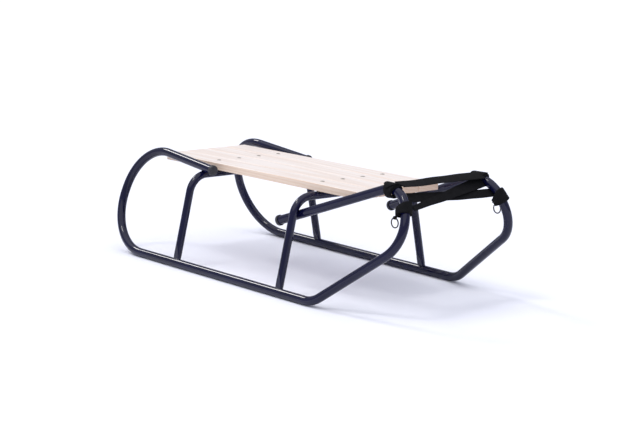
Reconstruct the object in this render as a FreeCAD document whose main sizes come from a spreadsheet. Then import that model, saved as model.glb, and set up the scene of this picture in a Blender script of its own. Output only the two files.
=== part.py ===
"""Children's sled: two bent-tube runners, two tube arches, a slatted seat and a webbing pull strap.

Frame: +X points forwards, +Y to the sled's left, +Z up. The origin is on the ground, in the middle
of the sled's length and width. Sizes are in millimetres and degrees.
"""
import FreeCAD, Part
import math
import os

import Sketcher

Vector = FreeCAD.Vector
Z_AXIS = Vector(0, 0, 1)

# Driving dimensions: alias, value.
SIZES = [
    ("runner_tube", 18),
    ("arch_tube", 16),
    ("runner_spacing", 385),
    ("runner_lean", 18.5),
    ("flat_front", 214.2),
    ("flat_rear", 317.2),
    ("front_low_radius", 65),
    ("front_rise_angle", 36.7),
    ("nose_radius", 69),
    ("nose_angle", 107),
    ("nose_straight", 12),
    ("front_top_radius", 54),
    ("front_arm_slope", 21.5),
    ("front_arm_tail", 50),
    ("rear_low_radius", 109),
    ("rear_back_angle", 96.2),
    ("rear_back_straight", 8),
    ("rear_arm_slope", 5.6),
    ("rear_arm_tail", 31),
    ("rear_arm_settle", 1.0),
    ("front_arch_place", 135.4),
    ("rear_arch_place", -192.6),
    ("front_bar_height", 192),
    ("rear_bar_height", 188),
    ("front_arm_drop", 33.5),
    ("arm_pass_gap", 0.5),
    ("arch_radius", 42),
    ("foot_thickness", 8),
    ("foot_length", 27),
    ("slat_count", 4),
    ("slat_width", 52.5),
    ("slat_gap", 0.7),
    ("slat_thickness", 14.5),
    ("slat_length", 610),
    ("slat_front", 263),
    ("slat_corner", 3),
    ("slat_round", 1.5),
    ("plate_thickness", 2),
    ("plate_width", 40),
    ("plate_length", 190),
    ("plate_shift", -8),
    ("screw_head", 9.5),
    ("screw_rise", 1.2),
    ("screw_sink", 2.4),
    ("screw_shank", 4.5),
    ("screw_clearance", 0.25),
    ("sink_clearance", 0.1),
    ("cap_head", 21.5),
    ("cap_length", 7),
    ("cap_round", 3),
    ("webbing_width", 28),
    ("webbing_thickness", 2),
    ("wrap_thickness", 4.5),
    ("wrap_clearance", 0.2),
    ("upper_wrap_angle", 85),
    ("upper_wrap_span", 46),
    ("lower_wrap_angle", 31),
    ("lower_wrap_span", 28),
    ("strand_clearance", 0.4),
    ("upper_strand_angle", 76),
    ("crossing_left_angle", 56),
    ("crossing_right_angle", 26),
    ("lower_left_angle", 28),
    ("lower_right_angle", 50),
    ("ring_outer", 21),
    ("ring_wire", 2.5),
    ("ring_forward", 32),
    ("ring_rise", 3),
    ("ring_out", 4),
    ("ring_play", 0.75),
    ("loop_width", 5),
    ("loop_webbing", 1.2),
    ("loop_tilt", 35),
]

# Values worked out from the driving dimensions, as sheet formulas.
DERIVED = [
    ("half_spacing", "Sizes.runner_spacing / 2"),
    ("axle_height", "Sizes.runner_tube / 2"),
    ("weld_reach", "(Sizes.runner_tube + Sizes.arch_tube) / 2"),
    # The front arm passes the front arch's leg at this height and touches its inner side.
    ("arm_pass_height", "Sizes.front_bar_height - Sizes.front_arm_drop - axle_height"),
    ("splay", "atan(tan(Sizes.runner_lean) - (weld_reach + Sizes.arm_pass_gap)"
     " / arm_pass_height)"),
    ("front_arm_end_x", "Sizes.front_arch_place - Sizes.front_arm_tail"),
    ("front_arm_end_z", "arm_pass_height / cos(Sizes.runner_lean)"
     " - Sizes.front_arm_tail * tan(Sizes.front_arm_slope)"),
    # The rear arm lies on the rear arch's bend.
    ("rear_arm_end_x", "Sizes.rear_arch_place + Sizes.rear_arm_tail"),
    ("rear_arm_end_z", "(Sizes.rear_bar_height + weld_reach - Sizes.rear_arm_settle - axle_height)"
     " / cos(Sizes.runner_lean) - Sizes.rear_arm_tail * tan(Sizes.rear_arm_slope)"),
    # Each foot is pressed flat, from full round down to its thickness at the runner.
    ("foot_taper", "atan((Sizes.arch_tube - Sizes.foot_thickness) / 2 / Sizes.foot_length)"),
    ("seat_pitch", "atan((Sizes.front_bar_height - Sizes.rear_bar_height)"
     " / (Sizes.front_arch_place - Sizes.rear_arch_place))"),
    ("seat_base", "Sizes.rear_bar_height - Sizes.rear_arch_place * tan(seat_pitch)"
     " + (Sizes.arch_tube / 2 + Sizes.plate_thickness) / cos(seat_pitch)"),
    ("slat_pitch", "Sizes.slat_width + Sizes.slat_gap"),
    ("hole_radius", "Sizes.screw_shank / 2 + Sizes.screw_clearance"),
    ("ring_radius", "(Sizes.ring_outer - Sizes.ring_wire) / 2"),
    ("loop_inner", "Sizes.ring_wire / 2 + Sizes.ring_play"),
    ("wrap_inner", "Sizes.runner_tube + 2 * Sizes.wrap_clearance"),
    ("wrap_outer", "wrap_inner + 2 * Sizes.wrap_thickness"),
    # A ring loop's tab runs at its tilt from the ring's wire to the inner side of the lower wrap.
    ("wrap_inside", "Sizes.front_top_radius - sqrt((wrap_outer / 2)^2 - Sizes.ring_out^2)"),
    ("tab_lead", "Sizes.ring_forward * sin(Sizes.loop_tilt)"
     " + Sizes.ring_rise * cos(Sizes.loop_tilt)"),
    ("loop_tab", "sqrt(tab_lead^2 - Sizes.ring_forward^2 - Sizes.ring_rise^2 + wrap_inside^2)"
     " - tab_lead - Sizes.strand_clearance"),
]

doc = FreeCAD.newDocument("childrens_sled")


def fill_sheet(name, rows):
    """A spreadsheet with one named cell for each row."""
    sheet = doc.addObject("Spreadsheet::Sheet", name)
    for number, (alias, content) in enumerate(rows, 1):
        text = content if isinstance(content, str) else str(content)
        sheet.set(f"A{number}", alias)
        sheet.set(f"B{number}", "=" + text if isinstance(content, str) else text)
        sheet.setAlias(f"B{number}", alias)
    doc.recompute()
    return sheet


sizes = fill_sheet("Sizes", SIZES)
derived = fill_sheet("Derived", DERIVED)


def new_body(label):
    """An empty body whose label names the piece."""
    body = doc.addObject("PartDesign::Body", label)
    body.Label = label
    return body


def new_sketch(body, name, role):
    """A sketch on one of the body's own origin planes."""
    sketch = body.newObject("Sketcher::SketchObject", body.Name + name)
    plane = next(item for item in body.Origin.OriginFeatures if item.Role == role)
    sketch.AttachmentSupport = [(plane, "")]
    sketch.MapMode = "FlatFace"
    return sketch


def constrain(sketch, kind, *where, size=None, value=0.0):
    """Add a constraint. A size is an expression over the sheets that sets it."""
    if size is None:
        sketch.addConstraint(Sketcher.Constraint(kind, *where))
    else:
        index = sketch.addConstraint(Sketcher.Constraint(kind, *where, value))
        sketch.setExpression(f"Constraints[{index}]", size)


def chain(start, angle, legs):
    """Lines and tangent arcs laid end to end from a start point.

    Each leg is ("line", length) or ("arc", radius, turn), with a turn to the left positive.
    """
    point, shapes = Vector(*start, 0), []
    for leg in legs:
        heading = math.radians(angle)
        if leg[0] == "line":
            end = point + Vector(math.cos(heading), math.sin(heading), 0) * leg[1]
            shapes.append(Part.LineSegment(point, end))
        else:
            radius, turn = leg[1], leg[2]
            side = math.copysign(1, turn)
            centre = point + Vector(-math.sin(heading), math.cos(heading), 0) * radius * side
            first = heading - side * math.pi / 2
            last = first + math.radians(turn)
            circle = Part.Circle(centre, Z_AXIS, radius)
            shapes.append(Part.ArcOfCircle(circle, min(first, last), max(first, last)))
            end = centre + Vector(math.cos(last), math.sin(last), 0) * radius
            angle += turn
        point = end
    return shapes


def draw_chain(sketch, start, angle, legs):
    """Draw a chain and join its legs end to end, each tangent to the next."""
    sketch.addGeometry(chain(start, angle, legs), False)
    ends = []
    for leg in legs:
        reverse = leg[0] == "arc" and leg[2] < 0
        ends.append((2, 1) if reverse else (1, 2))
    for index in range(len(legs) - 1):
        constrain(sketch, "Tangent", index, ends[index][1], index + 1, ends[index + 1][0])


def sweep_tube(body, path, diameter):
    """Sweep a round section along a path sketch."""
    profile = body.newObject("Sketcher::SketchObject", body.Name + "Section")
    profile.AttachmentSupport = [(path, "Edge1")]
    profile.MapMode = "NormalToEdge"
    profile.addGeometry(Part.Circle(Vector(), Z_AXIS, 5), False)
    constrain(profile, "Coincident", 0, 3, -1, 1)
    constrain(profile, "Diameter", 0, size=diameter, value=10)
    pipe = body.newObject("PartDesign::AdditivePipe", body.Name + "Tube")
    pipe.Profile = profile
    pipe.Spine = (path, [f"Edge{n + 1}" for n in range(path.GeometryCount)])


def place(body, *steps):
    """Place a body by steps from the sled's frame: each is (x, y, z, axis, angle) in sheet terms."""
    terms = [
        f"placement(vector({x}; {y}; {z}); rotation(vector({axis}); {angle}))"
        for x, y, z, axis, angle in steps
    ]
    body.setExpression("Placement", " * ".join(terms))


def runner_plane(side):
    """The step into the leaning plane of one runner, with its x along the ground."""
    half = f"{side} * Derived.half_spacing"
    return (0, half, "Derived.axle_height", f"{side}; 0; 0", "Sizes.runner_lean")


# The place of the front top bend among the legs of a runner's path.
TOP_BEND = 9


def make_runner(label, side):
    """One long tube: rear arm, rear bends, ground run, front rise, nose bends, front arm."""
    body = new_body(label)
    place(body, runner_plane(side))
    path = new_sketch(body, "Path", "XZ_Plane")
    back, nose, rise = sizes.rear_back_angle, sizes.nose_angle, sizes.front_rise_angle
    legs = [
        ("line", 155), ("arc", 98, 180 + sizes.rear_arm_slope - back),
        ("line", sizes.rear_back_straight), ("arc", sizes.rear_low_radius, back),
        ("line", sizes.flat_front + sizes.flat_rear), ("arc", sizes.front_low_radius, rise),
        ("line", 175), ("arc", sizes.nose_radius, nose - rise),
        ("line", sizes.nose_straight),
        ("arc", sizes.front_top_radius, 180 + sizes.front_arm_slope - nose),
        ("line", 278),
    ]
    start = (derived.rear_arm_end_x, derived.rear_arm_end_z)
    draw_chain(path, start, 180 - sizes.rear_arm_slope, legs)
    rear_arm, back_line, ground, rise_line, nose_line, front_arm = 0, 2, 4, 6, 8, 10
    low_rear, low_front, nose_bend = 3, 5, 7
    constrain(path, "Horizontal", ground)
    constrain(path, "PointOnObject", ground, 1, -1)
    constrain(path, "DistanceX", ground, 1, -1, 1, size="Sizes.flat_rear", value=315)
    constrain(path, "DistanceX", -1, 1, ground, 2, size="Sizes.flat_front", value=216)
    constrain(path, "Radius", low_rear, size="Sizes.rear_low_radius", value=109)
    constrain(path, "Radius", low_front, size="Sizes.front_low_radius", value=65)
    constrain(path, "Radius", nose_bend, size="Sizes.nose_radius", value=69)
    constrain(path, "Radius", TOP_BEND, size="Sizes.front_top_radius", value=54)
    constrain(path, "Distance", back_line, size="Sizes.rear_back_straight", value=8)
    constrain(path, "Distance", nose_line, size="Sizes.nose_straight", value=12)
    constrain(path, "Angle", rear_arm, size="180 - Sizes.rear_arm_slope", value=3)
    constrain(path, "Angle", back_line, size="-Sizes.rear_back_angle", value=-1.6)
    constrain(path, "Angle", rise_line, size="Sizes.front_rise_angle", value=0.6)
    constrain(path, "Angle", nose_line, size="Sizes.nose_angle", value=1.9)
    constrain(path, "Angle", front_arm, size="180 + Sizes.front_arm_slope", value=3.5)
    constrain(path, "DistanceX", rear_arm, 1, -1, 1, size="-Derived.rear_arm_end_x", value=160)
    constrain(path, "DistanceY", -1, 1, rear_arm, 1, size="Derived.rear_arm_end_z", value=200)
    constrain(path, "DistanceX", -1, 1, front_arm, 2, size="Derived.front_arm_end_x", value=87)
    constrain(path, "DistanceY", -1, 1, front_arm, 2, size="Derived.front_arm_end_z", value=138)
    for axis, name in (("DistanceX", "top_centre_x"), ("DistanceY", "top_centre_z")):
        index = path.addConstraint(Sketcher.Constraint(axis, -1, 1, TOP_BEND, 3, 100))
        path.setDriving(index, False)
        path.renameConstraint(index, name)
    sweep_tube(body, path, "Sizes.runner_tube")


def flatten_foot(body, side, face):
    """Shave one face of an arch's foot, in a plane that runs out to full round further up."""
    cut = body.newObject("PartDesign::SubtractiveBox", f"{body.Name}Flat{side + 1}{face + 1}")
    cut.setExpression("Length", "2 * Sizes.arch_tube")
    cut.setExpression("Width", "Sizes.arch_tube")
    cut.setExpression("Height", "3 * Sizes.foot_length")
    place(cut,
          (0, f"{side} * Derived.half_spacing", "Derived.axle_height", f"{side}; 0; 0",
           "Derived.splay"),
          (0, f"{face} * Sizes.foot_thickness / 2", "Derived.axle_height", f"{-face}; 0; 0",
           "Derived.foot_taper"),
          ("-Sizes.arch_tube", f"{(face - 1) // 2} * Sizes.arch_tube", "-Sizes.foot_length",
           "0; 0; 1", 0))


def make_arch(label, place_x, bar_height):
    """An upside-down U of thinner tube, with each foot pressed flat and cut to its runner."""
    body = new_body(label)
    place(body, (place_x, 0, 0, "0; 0; 1", 0))
    path = new_sketch(body, "Path", "YZ_Plane")
    splay, radius = derived.splay.Value, sizes.arch_radius
    legs = [
        ("line", 130), ("arc", radius, 90 - splay), ("line", 220),
        ("arc", radius, 90 - splay), ("line", 130),
    ]
    draw_chain(path, (derived.half_spacing, derived.axle_height), 90 + splay, legs)
    left_leg, left_bend, bar, right_bend, right_leg = range(5)
    constrain(path, "DistanceX", -1, 1, left_leg, 1, size="Derived.half_spacing", value=190)
    constrain(path, "DistanceY", -1, 1, left_leg, 1, size="Derived.axle_height", value=9)
    constrain(path, "DistanceX", right_leg, 2, -1, 1, size="Derived.half_spacing", value=190)
    constrain(path, "DistanceY", -1, 1, right_leg, 2, size="Derived.axle_height", value=9)
    constrain(path, "Angle", left_leg, size="90 deg + Derived.splay", value=1.8)
    constrain(path, "Angle", right_leg, size="-90 deg - Derived.splay", value=-1.8)
    constrain(path, "Horizontal", bar)
    constrain(path, "DistanceY", -1, 1, bar, 1, size=bar_height, value=190)
    constrain(path, "Radius", left_bend, size="Sizes.arch_radius", value=42)
    constrain(path, "Radius", right_bend, size="Sizes.arch_radius", value=42)
    sweep_tube(body, path, "Sizes.arch_tube")
    for side in (1, -1):
        for face in (1, -1):
            flatten_foot(body, side, face)
        cope = body.newObject("PartDesign::SubtractiveCylinder", f"{label}Cope{side + 1}")
        cope.setExpression("Radius", "Sizes.runner_tube / 2")
        cope.setExpression("Height", "4 * Sizes.arch_tube")
        place(cope, ("-2 * Sizes.arch_tube", f"{side} * Derived.half_spacing",
                     "Derived.axle_height", "0; 1; 0", 90))
        body.Tip = cope


def edges_where(shape, test):
    """The names of a shape's straight edges whose two ends pass a test."""
    return [
        f"Edge{n}" for n, edge in enumerate(shape.Edges, 1)
        if len(edge.Vertexes) == 2 and test(edge.Vertexes[0].Point, edge.Vertexes[1].Point)
    ]


def seat_frame(across=0):
    """The step onto the seat's underside, which lies on the plates of both arches."""
    return (0, across, "Derived.seat_base", "0; -1; 0", "Derived.seat_pitch")


def draw_rectangle(sketch, left, bottom, width, depth):
    """A rectangle from its lower left corner's place and its two sizes, as expressions."""
    corners = [Vector(-5, -5, 0), Vector(5, -5, 0), Vector(5, 5, 0), Vector(-5, 5, 0)]
    for n in range(4):
        sketch.addGeometry(Part.LineSegment(corners[n], corners[(n + 1) % 4]), False)
    for n in range(4):
        constrain(sketch, "Coincident", n, 2, (n + 1) % 4, 1)
        constrain(sketch, "Horizontal" if n % 2 == 0 else "Vertical", n)
    constrain(sketch, "DistanceX", 0, 1, 0, 2, size=width, value=10)
    constrain(sketch, "DistanceY", 1, 1, 1, 2, size=depth, value=10)
    constrain(sketch, "DistanceX", 0, 1, -1, 1, size=f"-({left})", value=5)
    constrain(sketch, "DistanceY", 0, 1, -1, 1, size=f"-({bottom})", value=5)


def drill(body, holes):
    """Cut round holes right through a flat piece: each hole is an x and a y expression."""
    sketch = new_sketch(body, "Holes", "XY_Plane")
    for n, (x, y) in enumerate(holes):
        sketch.addGeometry(Part.Circle(Vector(5 + n, 5 + n, 0), Z_AXIS, 2), False)
        constrain(sketch, "Radius", n, size="Derived.hole_radius", value=2)
        constrain(sketch, "DistanceX", -1, 1, n, 3, size=x, value=5)
        constrain(sketch, "DistanceY", -1, 1, n, 3, size=y, value=5)
    pocket = body.newObject("PartDesign::Pocket", body.Name + "Drilled")
    pocket.Profile = sketch
    pocket.Type = "ThroughAll"
    pocket.Midplane = True


ROWS = {
    "front": "(Sizes.front_arch_place + Sizes.plate_shift)",
    "rear": "(Sizes.rear_arch_place + Sizes.plate_shift)",
}


def slat_offset(index):
    """The sideways place of a slat's centre line, from the sled's right to its left."""
    return f"({index} - (Sizes.slat_count - 1) / 2) * Derived.slat_pitch"


def make_slat(index):
    """One lengthwise board with rounded corners and upper edges, and two countersunk holes."""
    body = new_body(f"seat_slat_{index + 1}")
    place(body, seat_frame(slat_offset(index)))
    outline = new_sketch(body, "Outline", "XY_Plane")
    draw_rectangle(outline, "Sizes.slat_front - Sizes.slat_length", "-Sizes.slat_width / 2",
                   "Sizes.slat_length", "Sizes.slat_width")
    board = body.newObject("PartDesign::Pad", body.Name + "Board")
    board.Profile = outline
    board.setExpression("Length", "Sizes.slat_thickness")
    doc.recompute()
    corners = body.newObject("PartDesign::Fillet", body.Name + "Corners")
    corners.Base = (board, edges_where(board.Shape, lambda a, b: a.sub(b).cross(Z_AXIS).Length < 1))
    corners.setExpression("Radius", "Sizes.slat_corner")
    doc.recompute()
    top = sizes.slat_thickness - 0.01
    rims = edges_where(corners.Shape, lambda a, b: min(a.z, b.z) > top and a.sub(b).Length > 20)
    rounds = body.newObject("PartDesign::Fillet", body.Name + "Rounds")
    rounds.Base = (corners, rims)
    rounds.setExpression("Radius", "Sizes.slat_round")
    drill(body, [(row, "0") for row in ROWS.values()])
    for name, row in ROWS.items():
        sink = body.newObject("PartDesign::SubtractiveCone", f"{body.Name}Sink_{name}")
        sink.setExpression("Radius1", "Derived.hole_radius")
        sink.setExpression("Radius2", "Sizes.screw_head / 2 + Sizes.sink_clearance")
        sink.setExpression("Height", "Sizes.screw_sink")
        place(sink, (row, 0, "Sizes.slat_thickness - Sizes.screw_sink", "0; 0; 1", 0))
        body.Tip = sink


def make_plate(label, row):
    """A flat steel plate on an arch's bar, which takes the screws of one row."""
    body = new_body(label)
    place(body, seat_frame(), (ROWS[row], 0, 0, "0; 0; 1", 0))
    outline = new_sketch(body, "Outline", "XY_Plane")
    draw_rectangle(outline, "-Sizes.plate_width / 2", "-Sizes.plate_length / 2",
                   "Sizes.plate_width", "Sizes.plate_length")
    pad = body.newObject("PartDesign::Pad", body.Name + "Plate")
    pad.Profile = outline
    pad.Reversed = True
    pad.setExpression("Length", "Sizes.plate_thickness")
    drill(body, [("0", slat_offset(n)) for n in range(int(sizes.slat_count))])


def make_screw(label, row, index):
    """A screw with a raised countersunk head, through one slat and the plate below it."""
    body = new_body(label)
    place(body, seat_frame(slat_offset(index)),
          (ROWS[row], 0, "Sizes.slat_thickness", "0; 0; 1", 0))
    profile = new_sketch(body, "Profile", "XZ_Plane")
    shank, head, rise = sizes.screw_shank / 2, sizes.screw_head / 2, sizes.screw_rise
    depth = -sizes.slat_thickness - sizes.plate_thickness
    dome = (head ** 2 + rise ** 2) / (2 * rise)
    corners = [Vector(0, rise, 0), Vector(0, depth, 0), Vector(shank, depth, 0),
               Vector(shank, -sizes.screw_sink, 0), Vector(head, 0, 0)]
    for a, b in zip(corners, corners[1:]):
        profile.addGeometry(Part.LineSegment(a, b), False)
    centre = Vector(0, rise - dome, 0)
    edge = math.asin(head / dome)
    arc = Part.ArcOfCircle(Part.Circle(centre, Z_AXIS, dome), math.pi / 2 - edge, math.pi / 2)
    profile.addGeometry(arc, False)
    axis, end, side, cone, cap = range(5)
    for a, b in ((axis, end), (end, side), (side, cone)):
        constrain(profile, "Coincident", a, 2, b, 1)
    constrain(profile, "Coincident", cone, 2, cap, 1)
    constrain(profile, "Coincident", cap, 2, axis, 1)
    constrain(profile, "PointOnObject", axis, 1, -2)
    constrain(profile, "Vertical", axis)
    constrain(profile, "Vertical", side)
    constrain(profile, "Horizontal", end)
    constrain(profile, "PointOnObject", cone, 2, -1)
    constrain(profile, "PointOnObject", cap, 3, -2)
    constrain(profile, "DistanceY", -1, 1, axis, 1, size="Sizes.screw_rise", value=1.2)
    constrain(profile, "DistanceY", axis, 2, -1, 1,
              size="Sizes.slat_thickness + Sizes.plate_thickness", value=17)
    constrain(profile, "DistanceY", cone, 1, -1, 1, size="Sizes.screw_sink", value=2.4)
    constrain(profile, "DistanceX", -1, 1, cone, 1, size="Sizes.screw_shank / 2", value=2)
    constrain(profile, "DistanceX", -1, 1, cone, 2, size="Sizes.screw_head / 2", value=5)
    turn = body.newObject("PartDesign::Revolution", body.Name + "Turned")
    turn.Profile = profile
    turn.ReferenceAxis = (profile, ["V_Axis"])
    turn.Angle = 360


def make_cap(label, side, x, z, slope):
    """A rounded plug over the open end of a runner's arm."""
    body = new_body(label)
    place(body, runner_plane(side), (x, 0, z, "0; 1; 0", slope))
    head = body.newObject("PartDesign::AdditiveCylinder", body.Name + "Head")
    head.setExpression("Radius", "Sizes.cap_head / 2")
    head.setExpression("Height", "Sizes.cap_length")
    doc.recompute()
    rim = [f"Edge{n}" for n, edge in enumerate(head.Shape.Edges, 1)
           if edge.Closed and edge.CenterOfMass.z > 1]
    rounds = body.newObject("PartDesign::Fillet", body.Name + "Round")
    rounds.Base = (head, rim)
    rounds.setExpression("Radius", "Sizes.cap_round")
    body.Tip = rounds


def make_wrap(label, side, angle, span):
    """Turns of webbing round a runner's top bend, as one sleeve."""
    body = new_body(label)
    place(body, runner_plane(side),
          ("left_runnerPath.Constraints.top_centre_x", 0,
           "left_runnerPath.Constraints.top_centre_z", "0; -1; 0", angle))
    section = new_sketch(body, "Section", "XY_Plane")
    for n, diameter in enumerate(("Derived.wrap_outer", "Derived.wrap_inner")):
        section.addGeometry(Part.Circle(Vector(50, 0, 0), Z_AXIS, 12 - n), False)
        constrain(section, "PointOnObject", n, 3, -1)
        constrain(section, "DistanceX", -1, 1, n, 3, size="Sizes.front_top_radius", value=54)
        constrain(section, "Diameter", n, size=diameter, value=24 - 2 * n)
    turn = body.newObject("PartDesign::Revolution", body.Name + "Sleeve")
    turn.Profile = section
    turn.ReferenceAxis = (section, ["V_Axis"])
    turn.Midplane = True
    turn.setExpression("Angle", span)


def ring_pivot(side):
    """The steps to the top of a ring's wire, in the leaning plane of its runner."""
    centre = "left_runnerPath.Constraints.top_centre"
    return (runner_plane(side),
            (f"{centre}_x + 1 mm * Sizes.ring_forward", f"{side} * Sizes.ring_out",
             f"{centre}_z + 1 mm * Sizes.ring_rise", "0; 0; 1", 0))


def make_ring(label, side):
    """A wire ring that hangs upright from the webbing inside the runner's front bend."""
    body = new_body(label)
    place(body, *ring_pivot(side), (0, 0, 0, f"{-side}; 0; 0", "Sizes.runner_lean"),
          (0, 0, "-Derived.ring_radius", "1; 0; 0", 90))
    ring = body.newObject("PartDesign::AdditiveTorus", body.Name + "Wire")
    ring.setExpression("Radius1", "Derived.ring_radius")
    ring.setExpression("Radius2", "Sizes.ring_wire / 2")


def make_ring_loop(label, side):
    """A narrow loop of webbing round the ring's wire, with a tab up to the lower wrap."""
    body = new_body(label)
    place(body, *ring_pivot(side))
    tunnel = body.newObject("PartDesign::AdditiveCylinder", body.Name + "Turn")
    tunnel.setExpression("Radius", "Derived.loop_inner + Sizes.loop_webbing")
    tunnel.setExpression("Height", "Sizes.loop_width")
    place(tunnel, ("-Sizes.loop_width / 2", 0, 0, "0; 1; 0", 90))
    tab = body.newObject("PartDesign::AdditiveBox", body.Name + "Tab")
    tab.setExpression("Length", "Sizes.loop_width")
    tab.setExpression("Width", "2 * Sizes.loop_webbing")
    tab.setExpression("Height", "Derived.loop_tab")
    place(tab, (0, 0, 0, "0; 1; 0", "Sizes.loop_tilt"),
          ("-Sizes.loop_width / 2", "-Sizes.loop_webbing", 0, "0; 0; 1", 0))
    hollow = body.newObject("PartDesign::SubtractiveCylinder", body.Name + "Hollow")
    hollow.setExpression("Radius", "Derived.loop_inner")
    hollow.setExpression("Height", "4 * Sizes.loop_width")
    place(hollow, ("-2 * Sizes.loop_width", 0, 0, "0; 1; 0", 90))
    body.Tip = hollow


def make_band(label, left_angle, right_angle, reach):
    """A strand of webbing that runs flat from the left bend's wrap to the right one's."""
    centre = doc.getObject("left_runnerPath").Geometry[TOP_BEND].Center
    half_width, thickness = sizes.webbing_width / 2, sizes.webbing_thickness
    wires = []
    for side, angle in ((1, left_angle), (-1, right_angle)):
        plane = doc.getObject("left_runner" if side > 0 else "right_runner").Placement
        phi = math.radians(angle)
        out = Vector(math.cos(phi), 0, math.sin(phi))
        along = Vector(-math.sin(phi), 0, math.cos(phi))
        middle = Vector(centre.x, 0, centre.y) + out * reach
        corners = [middle + along * (a * half_width) + out * (b * thickness)
                   for a, b in ((-1, 0), (1, 0), (1, 1), (-1, 1))]
        wires.append(Part.makePolygon([plane.multVec(c) for c in corners + corners[:1]]))
    band = doc.addObject("Part::Feature", label)
    band.Label = label
    band.Shape = Part.makeLoft(wires, True, True)


make_runner("left_runner", 1)
make_runner("right_runner", -1)
make_arch("front_arch", "Sizes.front_arch_place", "Sizes.front_bar_height")
make_arch("rear_arch", "Sizes.rear_arch_place", "Sizes.rear_bar_height")
for slat in range(int(sizes.slat_count)):
    make_slat(slat)
for row in ROWS:
    make_plate(f"{row}_seat_plate", row)
    for slat in range(int(sizes.slat_count)):
        make_screw(f"{row}_screw_{slat + 1}", row, slat)
for name, side in (("left", 1), ("right", -1)):
    make_cap(f"{name}_rear_cap", side, "Derived.rear_arm_end_x", "Derived.rear_arm_end_z",
             "90 + Sizes.rear_arm_slope")
    make_cap(f"{name}_front_cap", side, "Derived.front_arm_end_x", "Derived.front_arm_end_z",
             "-90 - Sizes.front_arm_slope")
    make_wrap(f"{name}_upper_wrap", side, "Sizes.upper_wrap_angle", "Sizes.upper_wrap_span")
    make_wrap(f"{name}_lower_wrap", side, "Sizes.lower_wrap_angle", "Sizes.lower_wrap_span")
    make_ring(f"{name}_ring", side)
    make_ring_loop(f"{name}_ring_loop", side)
doc.recompute()
reach = sizes.front_top_radius + derived.wrap_outer / 2 + sizes.strand_clearance
layer = sizes.webbing_thickness + sizes.strand_clearance
make_band("upper_strand", sizes.upper_strand_angle, sizes.upper_strand_angle, reach + layer)
make_band("crossing_strand", sizes.crossing_left_angle, sizes.crossing_right_angle, reach)
make_band("lower_strand", sizes.lower_left_angle, sizes.lower_right_angle, reach + layer)
doc.recompute()

os.makedirs("parts", exist_ok=True)
pieces = [item for item in doc.Objects
          if item.TypeId in ("PartDesign::Body", "Part::Feature")
          and item.getParentGeoFeatureGroup() is None]
for item in doc.Objects:
    if {"Invalid", "Error"} & set(item.State):
        raise RuntimeError(f"{item.Name} failed: {item.State}")
for piece in pieces:
    if piece.Shape.isNull() or not piece.Shape.isValid():
        raise RuntimeError(f"{piece.Label} has no valid shape")
for piece in pieces:
    piece.Shape.exportStep(f"parts/{piece.Label}.step")
    print(piece.Label, round(piece.Shape.Volume), piece.Shape.ShapeType, len(piece.Shape.Solids))
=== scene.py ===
import bmesh
import bpy
import math
from mathutils import Matrix, Vector, noise


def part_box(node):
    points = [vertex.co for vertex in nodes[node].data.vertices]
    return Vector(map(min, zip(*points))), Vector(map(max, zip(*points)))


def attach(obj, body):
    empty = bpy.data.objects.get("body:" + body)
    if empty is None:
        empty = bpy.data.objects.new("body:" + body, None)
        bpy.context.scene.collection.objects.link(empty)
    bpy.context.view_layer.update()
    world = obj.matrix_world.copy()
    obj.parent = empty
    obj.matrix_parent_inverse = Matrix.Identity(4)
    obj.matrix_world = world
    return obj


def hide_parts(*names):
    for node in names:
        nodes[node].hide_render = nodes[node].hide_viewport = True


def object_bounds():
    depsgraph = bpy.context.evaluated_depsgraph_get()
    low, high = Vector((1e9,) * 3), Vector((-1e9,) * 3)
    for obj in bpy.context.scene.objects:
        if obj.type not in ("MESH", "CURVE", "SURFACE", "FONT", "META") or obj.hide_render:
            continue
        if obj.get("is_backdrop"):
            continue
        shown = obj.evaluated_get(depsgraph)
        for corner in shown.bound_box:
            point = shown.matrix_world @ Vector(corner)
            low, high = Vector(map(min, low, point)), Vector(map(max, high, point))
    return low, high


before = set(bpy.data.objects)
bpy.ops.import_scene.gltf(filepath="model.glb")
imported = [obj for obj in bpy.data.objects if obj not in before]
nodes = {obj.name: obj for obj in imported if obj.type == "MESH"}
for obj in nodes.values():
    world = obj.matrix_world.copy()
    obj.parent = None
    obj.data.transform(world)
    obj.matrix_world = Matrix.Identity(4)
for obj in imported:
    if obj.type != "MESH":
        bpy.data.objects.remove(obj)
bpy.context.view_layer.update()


# ---------------------------------------------------------------------------------------------
# The two runners and two arches: bent steel tube, welded together and then sprayed with a
# thick gloss enamel in navy. The coat is wet-looking, with the faint orange peel of sprayed
# paint, so it shows long clean streaks of light along each tube.
# ---------------------------------------------------------------------------------------------
def linear(code):
    """An sRGB hex colour as linear RGBA."""
    parts = [int(code[i:i + 2], 16) / 255 for i in (1, 3, 5)]
    return tuple(c / 12.92 if c <= 0.04045 else ((c + 0.055) / 1.055) ** 2.4 for c in parts) + (1,)


def add_node(tree, kind, inputs=None, **settings):
    """Adds a node: settings are its properties, inputs are values or sockets to link."""
    node = tree.nodes.new("ShaderNode" + kind)
    for name, value in settings.items():
        setattr(node, name, value)
    for name, value in (inputs or {}).items():
        if isinstance(value, bpy.types.NodeSocket):
            tree.links.new(value, node.inputs[name])
        else:
            node.inputs[name].default_value = value
    return node


def new_material(name):
    """An empty node material."""
    material = bpy.data.materials.new(name)
    material.use_nodes = True
    material.node_tree.nodes.clear()
    return material, material.node_tree


def finish_material(tree, shader):
    """Joins a shader to the material's output."""
    add_node(tree, "OutputMaterial", {"Surface": shader.outputs[0]})


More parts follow.
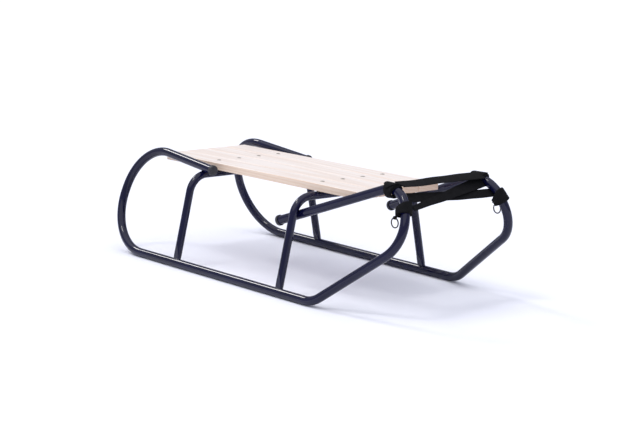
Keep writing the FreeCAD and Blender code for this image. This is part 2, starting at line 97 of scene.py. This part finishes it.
def navy_enamel():
    """Sprayed gloss enamel over steel: deep navy, a hard clear surface, slight orange peel."""
    material, tree = new_material("gloss_navy_enamel")
    place = add_node(tree, "TexCoord")
    peel_pitch, cloud_pitch = 0.004, 0.06
    peel = add_node(tree, "TexNoise", {"Vector": place.outputs["Object"], "Scale": 1 / peel_pitch,
                                       "Detail": 1.0})
    cloud = add_node(tree, "TexNoise", {"Vector": place.outputs["Object"], "Scale": 1 / cloud_pitch,
                                        "Detail": 3.0})
    tone = add_node(tree, "ValToRGB", {"Fac": cloud.outputs["Fac"]})
    tone.color_ramp.elements[0].position, tone.color_ramp.elements[1].position = 0.3, 0.7
    tone.color_ramp.elements[0].color = linear("#090a28")
    tone.color_ramp.elements[1].color = linear("#0d0f33")
    bump = add_node(tree, "Bump", {"Height": peel.outputs["Fac"], "Strength": 0.12,
                                   "Distance": 0.00015})
    shader = add_node(tree, "BsdfPrincipled", {
        "Base Color": tone.outputs["Color"], "Roughness": 0.35, "IOR": 1.5,
        "Specular IOR Level": 0.0, "Coat Weight": 1.0, "Coat Roughness": 0.03, "Coat IOR": 1.42,
        "Normal": bump.outputs["Normal"], "Coat Normal": bump.outputs["Normal"]})
    finish_material(tree, shader)
    return material


enamel = navy_enamel()


def dress(node_name, material):
    """Gives a CAD piece its one material."""
    piece = nodes[node_name]
    piece.data.materials.clear()
    piece.data.materials.append(material)


for name in ("left_runner", "right_runner", "front_arch", "rear_arch"):
    dress(name, enamel)

# Welds: each arch foot carries a small rippled bead where it meets the runner. They are painted
# over with the tubes, so they read as soft beads in the same navy.
runner_low, runner_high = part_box("left_runner")
tube_radius = 0.009
foot_half_length, foot_half_width = 0.008, 0.004
bead_radius, bead_points = 0.0013, 36
lean = math.atan2(runner_high.y - runner_low.y - 2 * tube_radius, runner_high.z - 2 * tube_radius)
half_spacing = runner_high.y - tube_radius


def link_mesh(name, mesh, material, body="sled"):
    """A finished mesh as a piece of the sled."""
    piece = bpy.data.objects.new(name, mesh)
    bpy.context.scene.collection.objects.link(piece)
    mesh.materials.append(material)
    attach(piece, body)
    return piece


def rippled_bead(mesh, path, bead):
    """Adds a closed tube round a loop of points, with the ripples of a weld."""
    rings, sides = len(path), 8
    made = []
    for n, point in enumerate(path):
        ahead = (path[(n + 1) % rings] - path[n - 1]).normalized()
        side = ahead.cross(Vector((0, 0, 1))).normalized()
        lift = side.cross(ahead)
        size = bead * (1 + 0.22 * math.sin(n * 1.9) + 0.15 * math.sin(n * 0.7))
        made.append([mesh.verts.new(point + (side * math.cos(a) + lift * math.sin(a)) * size)
                     for a in (2 * math.pi * k / sides for k in range(sides))])
    for n in range(rings):
        for k in range(sides):
            a, b = made[n], made[(n + 1) % rings]
            mesh.faces.new((a[k], a[(k + 1) % sides], b[(k + 1) % sides], b[k])).smooth = True


splay = math.radians(12.27)
for label in ("front_arch", "rear_arch"):
    low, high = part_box(label)
    beads = bmesh.new()
    for side in (1, -1):
        loop = []
        for n in range(bead_points):
            turn = 2 * math.pi * n / bead_points
            along = foot_half_length * math.cos(turn)
            across = foot_half_width * math.copysign(abs(math.sin(turn)) ** 0.6, math.sin(turn))
            rise = math.sqrt(tube_radius ** 2 - (across * 0.98) ** 2)
            y = half_spacing - rise * math.tan(splay) + across / math.cos(splay)
            loop.append(Vector(((low.x + high.x) / 2 + along, side * y, tube_radius + rise)))
        rippled_bead(beads, loop, bead_radius)
    mesh = bpy.data.meshes.new(label + "_welds")
    bmesh.ops.recalc_face_normals(beads, faces=beads.faces)
    beads.to_mesh(mesh)
    beads.free()
    link_mesh(label + "_welds", mesh, enamel)


# ---------------------------------------------------------------------------------------------
# The seat: four pine boards, planed, with eased edges and a thin clear varnish. Plain-sawn pine
# is pale and pinkish, with long soft grain lines, and its cut ends show the growth rings darker.
# ---------------------------------------------------------------------------------------------
def varnished_pine(index):
    """Planed pine: long grain along X, rings on the ends, painted shade on the long sides, each
    board cut from its own place.
    """
    material, tree = new_material(f"varnished_pine_{index}")
    place = add_node(tree, "TexCoord")
    shift = add_node(tree, "Mapping", {"Vector": place.outputs["Object"],
                                       "Location": (0.31 * index, 0.017 * index, 0.05 * index)})
    ring_pitch = 0.0055
    stretch = add_node(tree, "Mapping", {"Vector": shift.outputs["Vector"],
                                         "Scale": (0.05, 1.0, 1.0)})
    drift = add_node(tree, "TexNoise", {"Vector": stretch.outputs["Vector"], "Scale": 38.0,
                                        "Detail": 2.0})
    bend = add_node(tree, "VectorMath", {0: drift.outputs["Color"], 1: (0.012, 0.012, 0.012)},
                    operation="MULTIPLY")
    wander = add_node(tree, "VectorMath", {0: stretch.outputs["Vector"], 1: bend.outputs[0]},
                      operation="ADD")
    rings = add_node(tree, "TexWave", {"Vector": wander.outputs[0], "Scale": 0.314 / ring_pitch,
                                       "Distortion": 1.2, "Detail": 2.0, "Detail Scale": 1.0},
                     wave_type="RINGS", rings_direction="X")
    fibre_place = add_node(tree, "Mapping", {"Vector": shift.outputs["Vector"],
                                             "Scale": (0.03, 1.0, 1.0)})
    fibre = add_node(tree, "TexNoise", {"Vector": fibre_place.outputs["Vector"], "Scale": 900.0,
                                        "Detail": 4.0})
    grain = add_node(tree, "ValToRGB", {"Fac": rings.outputs["Fac"]})
    grain.color_ramp.elements[0].position, grain.color_ramp.elements[1].position = 0.15, 0.9
    grain.color_ramp.elements[0].color = linear("#f4ebe5")
    grain.color_ramp.elements[1].color = linear("#eee0d6")
    streak = add_node(tree, "MixRGB", {"Fac": 0.10, "Color1": grain.outputs["Color"],
                                       "Color2": fibre.outputs["Color"]}, blend_type="SOFT_LIGHT")
    where = add_node(tree, "NewGeometry")
    facing = add_node(tree, "SeparateXYZ", {0: where.outputs["Normal"]})
    along = add_node(tree, "Math", {0: facing.outputs["X"]}, operation="ABSOLUTE")
    end = add_node(tree, "MapRange", {0: along.outputs[0], 1: 0.5, 2: 0.9})
    # Painted shade: faces turned towards ±Y, the boards' long sides, are multiplied towards a
    # darker warm tan, standing in for the shade the sides take under the overhead light.
    side = add_node(tree, "Math", {0: facing.outputs["Y"]}, operation="ABSOLUTE")
    painted_side_shade = add_node(tree, "MapRange", {0: side.outputs[0], 1: 0.3, 2: 0.9, 3: 0.0, 4: 0.7})
    shaded_sides = add_node(tree, "MixRGB", {"Fac": painted_side_shade.outputs[0], "Color1": streak.outputs["Color"],
                                     "Color2": linear("#efdcc4")}, blend_type="MULTIPLY")
    cut = add_node(tree, "MixRGB", {"Fac": end.outputs[0], "Color1": shaded_sides.outputs["Color"],
                                    "Color2": linear("#e2cfbd")}, blend_type="MULTIPLY")
    bump = add_node(tree, "Bump", {"Height": fibre.outputs["Fac"], "Strength": 0.15,
                                   "Distance": 0.0002})
    shader = add_node(tree, "BsdfPrincipled", {
        "Base Color": cut.outputs["Color"], "Roughness": 0.42, "IOR": 1.5, "Coat Weight": 0.15,
        "Coat Roughness": 0.25, "Normal": bump.outputs["Normal"]})
    finish_material(tree, shader)
    return material


for number in range(1, 5):
    dress(f"seat_slat_{number}", varnished_pine(number))


# ---------------------------------------------------------------------------------------------
# The seat plates: flat steel on each arch's bar, under the boards, sprayed with the frame. The
# paint is thinner here and reads as satin.
# ---------------------------------------------------------------------------------------------
def satin_paint():
    """Thin dark paint on flat steel: satin, with a fine grit from the primer."""
    material, tree = new_material("satin_dark_paint")
    place = add_node(tree, "TexCoord")
    grit = add_node(tree, "TexNoise", {"Vector": place.outputs["Object"], "Scale": 900.0})
    bump = add_node(tree, "Bump", {"Height": grit.outputs["Fac"], "Strength": 0.2,
                                   "Distance": 0.0001})
    shader = add_node(tree, "BsdfPrincipled", {
        "Base Color": linear("#1a1b30"), "Roughness": 0.42, "IOR": 1.5,
        "Normal": bump.outputs["Normal"]})
    finish_material(tree, shader)
    return material


plate_paint = satin_paint()
for name in ("front_seat_plate", "rear_seat_plate"):
    dress(name, plate_paint)


# ---------------------------------------------------------------------------------------------
# The screws: zinc-plated steel with raised countersunk heads and a cross recess, one through each
# board at each arch. Zinc plate is a warm dull silver.
# ---------------------------------------------------------------------------------------------
def zinc_plate():
    """Zinc plating on a rolled screw: a warm grey metal with a slightly cloudy shine."""
    material, tree = new_material("zinc_plate")
    place = add_node(tree, "TexCoord")
    cloud = add_node(tree, "TexNoise", {"Vector": place.outputs["Object"], "Scale": 700.0,
                                        "Detail": 3.0})
    rough = add_node(tree, "MapRange", {0: cloud.outputs["Fac"], 3: 0.28, 4: 0.5})
    shader = add_node(tree, "BsdfPrincipled", {
        "Base Color": linear("#b5afa6"), "Metallic": 1.0, "Roughness": rough.outputs[0]})
    finish_material(tree, shader)
    return material


zinc = zinc_plate()


def cross_head(radius, height, shank, depth):
    """A raised countersunk head with a cross recess and its plain shank; its rim is at zero."""
    shape = bmesh.new()
    profile = [(0.0, height)]
    profile += [(radius * math.sin(a), height * math.cos(a))
                for a in (math.pi / 2 * k / 8 for k in range(1, 9))]
    profile += [(shank, -2 * height), (shank, -depth), (0.0, -depth)]
    steps = 32
    verts = [[shape.verts.new((r * math.cos(2 * math.pi * k / steps),
                               r * math.sin(2 * math.pi * k / steps), z))
              for k in range(steps if r else 1)] for r, z in profile]
    for a, b in zip(verts, verts[1:]):
        for k in range(steps):
            corners = [a[k % len(a)], b[k % len(b)], b[(k + 1) % len(b)], a[(k + 1) % len(a)]]
            unique = list(dict.fromkeys(corners))
            shape.faces.new(unique).smooth = True
    bmesh.ops.recalc_face_normals(shape, faces=shape.faces)
    head = bpy.data.meshes.new("screw_head")
    shape.to_mesh(head)
    shape.free()
    slot_share, recess_share = 0.22, 1.3
    cutter = bmesh.new()
    for turn in (0, math.pi / 2):
        arm = Matrix.Rotation(turn, 4, "Z") @ Matrix.Translation((0, 0, height)) @ Matrix.Diagonal(
            (radius, radius * slot_share, height * recess_share, 1))
        bmesh.ops.create_cube(cutter, size=1.0, matrix=arm)
    cross = bpy.data.meshes.new("cross_recess")
    cutter.to_mesh(cross)
    cutter.free()
    holder, tool = (
        bpy.data.objects.new("screw_blank", head), bpy.data.objects.new("recess_tool", cross))
    for item in (holder, tool):
        bpy.context.scene.collection.objects.link(item)
    cut = holder.modifiers.new("recess", "BOOLEAN")
    cut.operation, cut.object, cut.solver = "DIFFERENCE", tool, "EXACT"
    cut.use_self = True
    result = bpy.data.meshes.new_from_object(
        holder.evaluated_get(bpy.context.evaluated_depsgraph_get()))
    for item in (holder, tool):
        bpy.data.objects.remove(item)
    return result


head_radius, head_rise, shank_radius, screw_length = 0.00475, 0.0012, 0.00225, 0.0165
head_mesh = cross_head(head_radius, head_rise, shank_radius, screw_length)
head_mesh.name = "cross_head_screw"
head_mesh.materials.append(zinc)
for row in ("front", "rear"):
    for number in range(1, 5):
        node_name = f"{row}_screw_{number}"
        low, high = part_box(node_name)
        screw = bpy.data.objects.new(f"{row}_cross_screw_{number}", head_mesh)
        bpy.context.scene.collection.objects.link(screw)
        middle = (low + high) / 2
        # Every screw stops at a turn of its own.
        stop = 0.7 * number + (1.1 if row == "rear" else 0)
        screw.matrix_world = Matrix.Translation(
            (middle.x, middle.y, high.z - head_rise)) @ Matrix.Rotation(stop, 4, "Z")
        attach(screw, "sled")
        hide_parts(node_name)


# ---------------------------------------------------------------------------------------------
# The caps: moulded black plastic plugs, pushed into the open ends of the runner tubes. The
# mould leaves a fine even grain and a dull surface.
# ---------------------------------------------------------------------------------------------
def moulded_plastic():
    """Moulded polyethylene: near black, dull, with a fine spark-eroded grain."""
    material, tree = new_material("moulded_black_plastic")
    place = add_node(tree, "TexCoord")
    grain = add_node(tree, "TexNoise", {"Vector": place.outputs["Object"], "Scale": 1400.0,
                                        "Detail": 2.0})
    bump = add_node(tree, "Bump", {"Height": grain.outputs["Fac"], "Strength": 0.3,
                                   "Distance": 0.0001})
    shader = add_node(tree, "BsdfPrincipled", {
        "Base Color": linear("#2b2b30"), "Roughness": 0.5, "IOR": 1.5,
        "Normal": bump.outputs["Normal"]})
    finish_material(tree, shader)
    return material


plug_plastic = moulded_plastic()
for side in ("left", "right"):
    for end in ("rear", "front"):
        dress(f"{side}_{end}_cap", plug_plastic)


# ---------------------------------------------------------------------------------------------
# The rings: nickel-plated wire, bent round and welded, one on each side for a tow rope's hook.
# ---------------------------------------------------------------------------------------------
def nickel_wire():
    """Nickel-plated steel wire: a dulled dark silver, with soft drawing marks."""
    material, tree = new_material("nickel_wire")
    place = add_node(tree, "TexCoord")
    marks = add_node(tree, "TexNoise", {"Vector": place.outputs["Object"], "Scale": 500.0})
    rough = add_node(tree, "MapRange", {0: marks.outputs["Fac"], 3: 0.16, 4: 0.32})
    shader = add_node(tree, "BsdfPrincipled", {
        "Base Color": linear("#504e4b"), "Metallic": 1.0, "Roughness": rough.outputs[0]})
    finish_material(tree, shader)
    return material


ring_nickel = nickel_wire()
for side in ("left", "right"):
    dress(f"{side}_ring", ring_nickel)


# ---------------------------------------------------------------------------------------------
# The pull strap: black polyester webbing, wound round the top bends of both runners and carried
# across between them in three strands. It is woven in a coarse rib and takes the light softly.
# ---------------------------------------------------------------------------------------------
def ribbed_webbing():
    """Woven polyester: black ribs across the strap, a twill between them, dull with a soft sheen.
    The ribs are drawn 2 mm apart, coarser than the real 1 mm, so that they show."""
    material, tree = new_material("ribbed_black_webbing")
    place = add_node(tree, "UVMap", uv_map="webbing")
    rib_pitch = 2.0
    warp_pitch = 1.4
    ribs = add_node(tree, "TexWave", {"Vector": place.outputs["UV"], "Scale": 0.314 / rib_pitch,
                                      "Distortion": 0.4, "Detail": 1.0},
                    wave_type="BANDS", bands_direction="Y")
    warp = add_node(tree, "TexWave", {"Vector": place.outputs["UV"], "Scale": 0.314 / warp_pitch,
                                      "Distortion": 0.3, "Detail": 1.0},
                    wave_type="BANDS", bands_direction="X")
    weave = add_node(tree, "Math", {0: ribs.outputs["Fac"], 1: warp.outputs["Fac"]},
                     operation="MULTIPLY")
    wear = add_node(tree, "TexNoise", {"Vector": place.outputs["UV"], "Scale": 0.08, "Detail": 4.0})
    tone = add_node(tree, "ValToRGB", {"Fac": wear.outputs["Fac"]})
    tone.color_ramp.elements[0].position, tone.color_ramp.elements[1].position = 0.3, 0.75
    tone.color_ramp.elements[0].color = linear("#0f0f11")
    tone.color_ramp.elements[1].color = linear("#17171a")
    bump = add_node(tree, "Bump", {"Height": weave.outputs[0], "Strength": 0.5,
                                   "Distance": 0.0004})
    shader = add_node(tree, "BsdfPrincipled", {
        "Base Color": tone.outputs["Color"], "Roughness": 0.9, "IOR": 1.45,
        "Specular IOR Level": 0.15, "Normal": bump.outputs["Normal"]})
    finish_material(tree, shader)
    return material


webbing = ribbed_webbing()
strap_width, strap_thickness = 0.028, 0.0018
bend_radius = 0.054
bend_start = math.radians(17)
ring_low, ring_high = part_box("left_ring")
ring_forward = 0.032
bend_u = (ring_low.x + ring_high.x) / 2 - ring_forward
bend_w = (runner_high.z - 2 * tube_radius) / math.cos(lean) - bend_radius


def in_plane(side, u, w, out=0.0):
    """A point of a runner's leaning plane: u forwards, w up the plane, out away from the sled."""
    y = half_spacing - w * math.sin(lean) + out * math.cos(lean)
    return Vector((u, side * y, tube_radius + w * math.cos(lean) + out * math.sin(lean)))


def tube_place(distance):
    """The tube's centre and outward direction in the plane, at a distance up the top bend."""
    phi = bend_start + max(distance, 0) / bend_radius
    u = bend_u + bend_radius * math.cos(phi)
    w = bend_w + bend_radius * math.sin(phi)
    back = min(distance, 0)
    return u - back * math.sin(phi), w + back * math.cos(phi), phi


def strap_mesh(name, frames):
    """A strap through a row of (middle, across, normal, length so far) frames, with soft edges."""
    half, thick = strap_width / 2, strap_thickness / 2
    outline = [(-1.0, 0.0), (-0.97, 0.8), (-0.9, 1.0), (-0.45, 1.05), (0.0, 1.1), (0.45, 1.05),
               (0.9, 1.0), (0.97, 0.8), (1.0, 0.0), (0.97, -0.8), (0.9, -1.0), (0.0, -1.0),
               (-0.9, -1.0), (-0.97, -0.8)]
    shape = bmesh.new()
    rows = []
    for middle, across, normal, run in frames:
        rows.append([shape.verts.new(middle + across * (a * half) + normal * (b * thick))
                     for a, b in outline])
    lengths = [f[3] * 1000 for f in frames]
    layer = shape.loops.layers.uv.new("webbing")
    count = len(outline)
    for n in range(len(rows) - 1):
        for k in range(count):
            j = (k + 1) % count
            face = shape.faces.new((rows[n][k], rows[n][j], rows[n + 1][j], rows[n + 1][k]))
            face.smooth = True
            for loop, (m, c) in zip(face.loops, ((n, k), (n, j), (n + 1, j), (n + 1, k))):
                loop[layer].uv = (outline[c][0] * half * 1000, lengths[m])
    for row in (rows[0], rows[-1]):
        face = shape.faces.new(row)
        for loop in face.loops:
            loop[layer].uv = (0, 0)
    bmesh.ops.recalc_face_normals(shape, faces=shape.faces)
    mesh = bpy.data.meshes.new(name)
    shape.to_mesh(mesh)
    shape.free()
    return mesh


def wound_strap(name, side, middle, turns, drift, slack, start, slant, bunch, replaced):
    """Turns of the strap round the tube. Each lies on the last, drifts along the bend and hangs
    loose on the inner side of the bend, some turns more than others. A slanting turn lies
    further down the bend on its inner side. Bunched turns are narrower than the flat strap, and
    the last bit narrows to a folded tip."""
    first_layer, next_layer = 0.0011, 0.0014
    steps_a_turn = 32
    frames, run = [], 0.0
    steps = int(steps_a_turn * turns)
    for n in range(steps + 1):
        share = n / steps
        angle = start + 2 * math.pi * turns * share
        inner = (0.5 - 0.5 * math.cos(angle)) ** 1.5
        loose = slack * (0.35 + 0.65 * abs(math.sin(1.3 * turns * share * math.pi + 0.6)))
        rise = tube_radius + first_layer + next_layer * turns * share + loose * inner
        here = middle + drift * (share - 0.5) - slant * (inner - 0.5)
        tip = bunch * min(1.0, 0.25 + 0.75 * (1 - share) * turns / 0.12)
        ends = []
        for offset in (-0.5, 0.5):
            u, w, phi = tube_place(here + offset * strap_width * tip * (1 - 0.35 * inner))
            pinch = rise * (1 + 0.12 * offset * math.sin(2 * angle + 3 * share))
            out = pinch * math.sin(angle)
            reach = pinch * math.cos(angle)
            ends.append(in_plane(side, u + reach * math.cos(phi), w + reach * math.sin(phi), out))
        u, w, phi = tube_place(here)
        point = (ends[0] + ends[1]) / 2
        normal = (point - in_plane(side, u, w)).normalized()
        across = (ends[1] - ends[0]) / strap_width
        if frames:
            run += (point - frames[-1][0]).length
        frames.append((point, across, normal, run))
    piece = link_mesh(name, strap_mesh(name, frames), webbing)
    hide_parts(*replaced)


for label, side in (("left", 1), ("right", -1)):
    wound_strap(f"{label}_upper_turns", side, middle=0.067, turns=3.2, drift=0.004, slack=0.002,
                start=0.4, slant=0.0, bunch=0.95, replaced=[f"{label}_upper_wrap"])
    wound_strap(f"{label}_lower_turns", side, middle=0.005, turns=2.3, drift=0.003, slack=0.008,
                start=2.0, slant=0.006, bunch=0.66 if side < 0 else 0.82,
                replaced=[f"{label}_lower_wrap"])


def bend_point(side, angle, reach, out):
    """A point by its angle round the top bend, its distance from the bend's centre, and out."""
    phi = math.radians(angle)
    return in_plane(side, bend_u + reach * math.cos(phi), bend_w + reach * math.sin(phi), out)


def strap_edge(side, slope):
    """The direction of a strap's width in a runner's plane, by its slope from straight ahead."""
    turn = math.radians(slope)
    return in_plane(side, math.cos(turn), math.sin(turn)) - in_plane(side, 0, 0)


def carried_strand(name, left, right, widths, sag, swell, replaced):
    """A strand from the left bend to the right one. Each end is its angle round the bend, its
    distance from the bend's centre, how far out it lies and the slope of its width. Widths are
    the shares of the strap's width left at the two ends, where it is folded. The strand dips by
    sag and is a little crumpled."""
    frames, run, steps = [], 0.0, 48
    ends = [(bend_point(side, *end[:3]), strap_edge(side, end[3]))
            for side, end in ((1, left), (-1, right))]
    forward = (ends[1][0] - ends[0][0]).normalized()
    for n in range(steps + 1):
        share = n / steps
        point = ends[0][0].lerp(ends[1][0], share)
        along = ends[0][1].lerp(ends[1][1], share)
        along = (along - forward * along.dot(forward)).normalized()
        normal = along.cross(forward).normalized()
        along = along * (widths[0] + (widths[1] - widths[0]) * share)
        point = point - Vector((0, 0, sag)) * (4 * share * (1 - share))
        point = point + normal * (swell * noise.noise(point * 22 + Vector((len(name), 0, 0))))
        if frames:
            run += (point - frames[-1][0]).length
        frames.append((point, along, normal, run))
    piece = link_mesh(name, strap_mesh(name, frames), webbing)
    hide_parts(replaced)


carried_strand("upper_carried_strand", (80, 0.066, -0.004, -19), (78, 0.067, -0.002, -13),
               widths=(1, 1), sag=0.0005, swell=0.0015, replaced="upper_strand")
carried_strand("crossing_carried_strand", (74, 0.057, -0.008, -48), (26, 0.063, -0.010, -44),
               widths=(0.95, 0.4), sag=0.001, swell=0.002, replaced="crossing_strand")
carried_strand("lower_carried_strand", (42, 0.047, -0.006, -42), (56, 0.0535, -0.009, -38),
               widths=(0.72, 0.85), sag=0.001, swell=0.002, replaced="lower_strand")

for side in ("left", "right"):
    dress(f"{side}_ring_loop", webbing)


# ---------------------------------------------------------------------------------------------
# The studio: a plain pale floor, even light from all round, a broad soft lamp overhead and two
# small ones, which draw the thin lines of light on the tubes. The camera is a long lens.
# ---------------------------------------------------------------------------------------------
def pale_floor():
    """Matt white board, faintly cool."""
    material, tree = new_material("pale_floor")
    place = add_node(tree, "TexCoord")
    mottle = add_node(tree, "TexNoise", {"Vector": place.outputs["Object"], "Scale": 3.0})
    tone = add_node(tree, "ValToRGB", {"Fac": mottle.outputs["Fac"]})
    tone.color_ramp.elements[0].color = linear("#f1f4ff")
    tone.color_ramp.elements[1].color = linear("#f4f6ff")
    shader = add_node(tree, "BsdfPrincipled", {"Base Color": tone.outputs["Color"],
                                               "Roughness": 0.9, "Specular IOR Level": 0.1})
    finish_material(tree, shader)
    return material


floor_mesh = bpy.data.meshes.new("floor")
reach = 14.0
floor_mesh.from_pydata([(-reach, -reach, 0), (reach, -reach, 0), (reach, reach, 0),
                        (-reach, reach, 0)], [], [(0, 1, 2, 3)])
floor = bpy.data.objects.new("floor", floor_mesh)
bpy.context.scene.collection.objects.link(floor)
floor_mesh.materials.append(pale_floor())
floor.location.z = -0.0003
floor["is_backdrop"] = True

world = bpy.data.worlds.new("studio")
world.use_nodes = True
sky = world.node_tree.nodes["Background"]
sky.inputs["Color"].default_value = linear("#eef1ff")
sky.inputs["Strength"].default_value = 0.55
bpy.context.scene.world = world


def soft_sun(name, azimuth, elevation, width, strength):
    """A distant round soft box: where it stands in the sky, how wide it looks, how strong."""
    lamp = bpy.data.lights.new(name, "SUN")
    lamp.angle, lamp.energy = math.radians(width), strength
    lamp.color = linear("#fffdfa")[:3]
    holder = bpy.data.objects.new(name, lamp)
    bpy.context.scene.collection.objects.link(holder)
    turn, rise = math.radians(azimuth), math.radians(elevation)
    towards = Vector((math.sin(turn) * math.cos(rise), -math.cos(turn) * math.cos(rise),
                      math.sin(rise)))
    holder.rotation_euler = towards.to_track_quat("Z", "Y").to_euler()


soft_sun("broad_box", 20, 75, 100, 1.5)
soft_sun("rear_strip", -82, 42, 12, 0.6)
soft_sun("small_box", -10, 62, 12, 0.5)

azimuth, elevation, roll = math.radians(48.6), math.radians(10.48), math.radians(1.69)
distance = 4.1285
target = Vector((0.0577, 0, 0.1486))
back = Vector((math.sin(azimuth) * math.cos(elevation), -math.cos(azimuth) * math.cos(elevation),
               math.sin(elevation)))
right = Vector((math.cos(azimuth), math.sin(azimuth), 0))
up = back.cross(right)
tilted_right = right * math.cos(roll) + up * math.sin(roll)
tilted_up = up * math.cos(roll) - right * math.sin(roll)
lens = bpy.data.cameras.new("camera")
lens.sensor_width, lens.lens = 36, 116.65
lens.shift_x, lens.shift_y = -0.0202, -0.0073
camera = bpy.data.objects.new("camera", lens)
bpy.context.scene.collection.objects.link(camera)
camera.matrix_world = Matrix.Translation(target + back * distance) @ Matrix(
    (tilted_right, tilted_up, back)).transposed().to_4x4()
bpy.context.scene.camera = camera
bpy.context.scene.view_settings.view_transform = "Standard"

low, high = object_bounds()
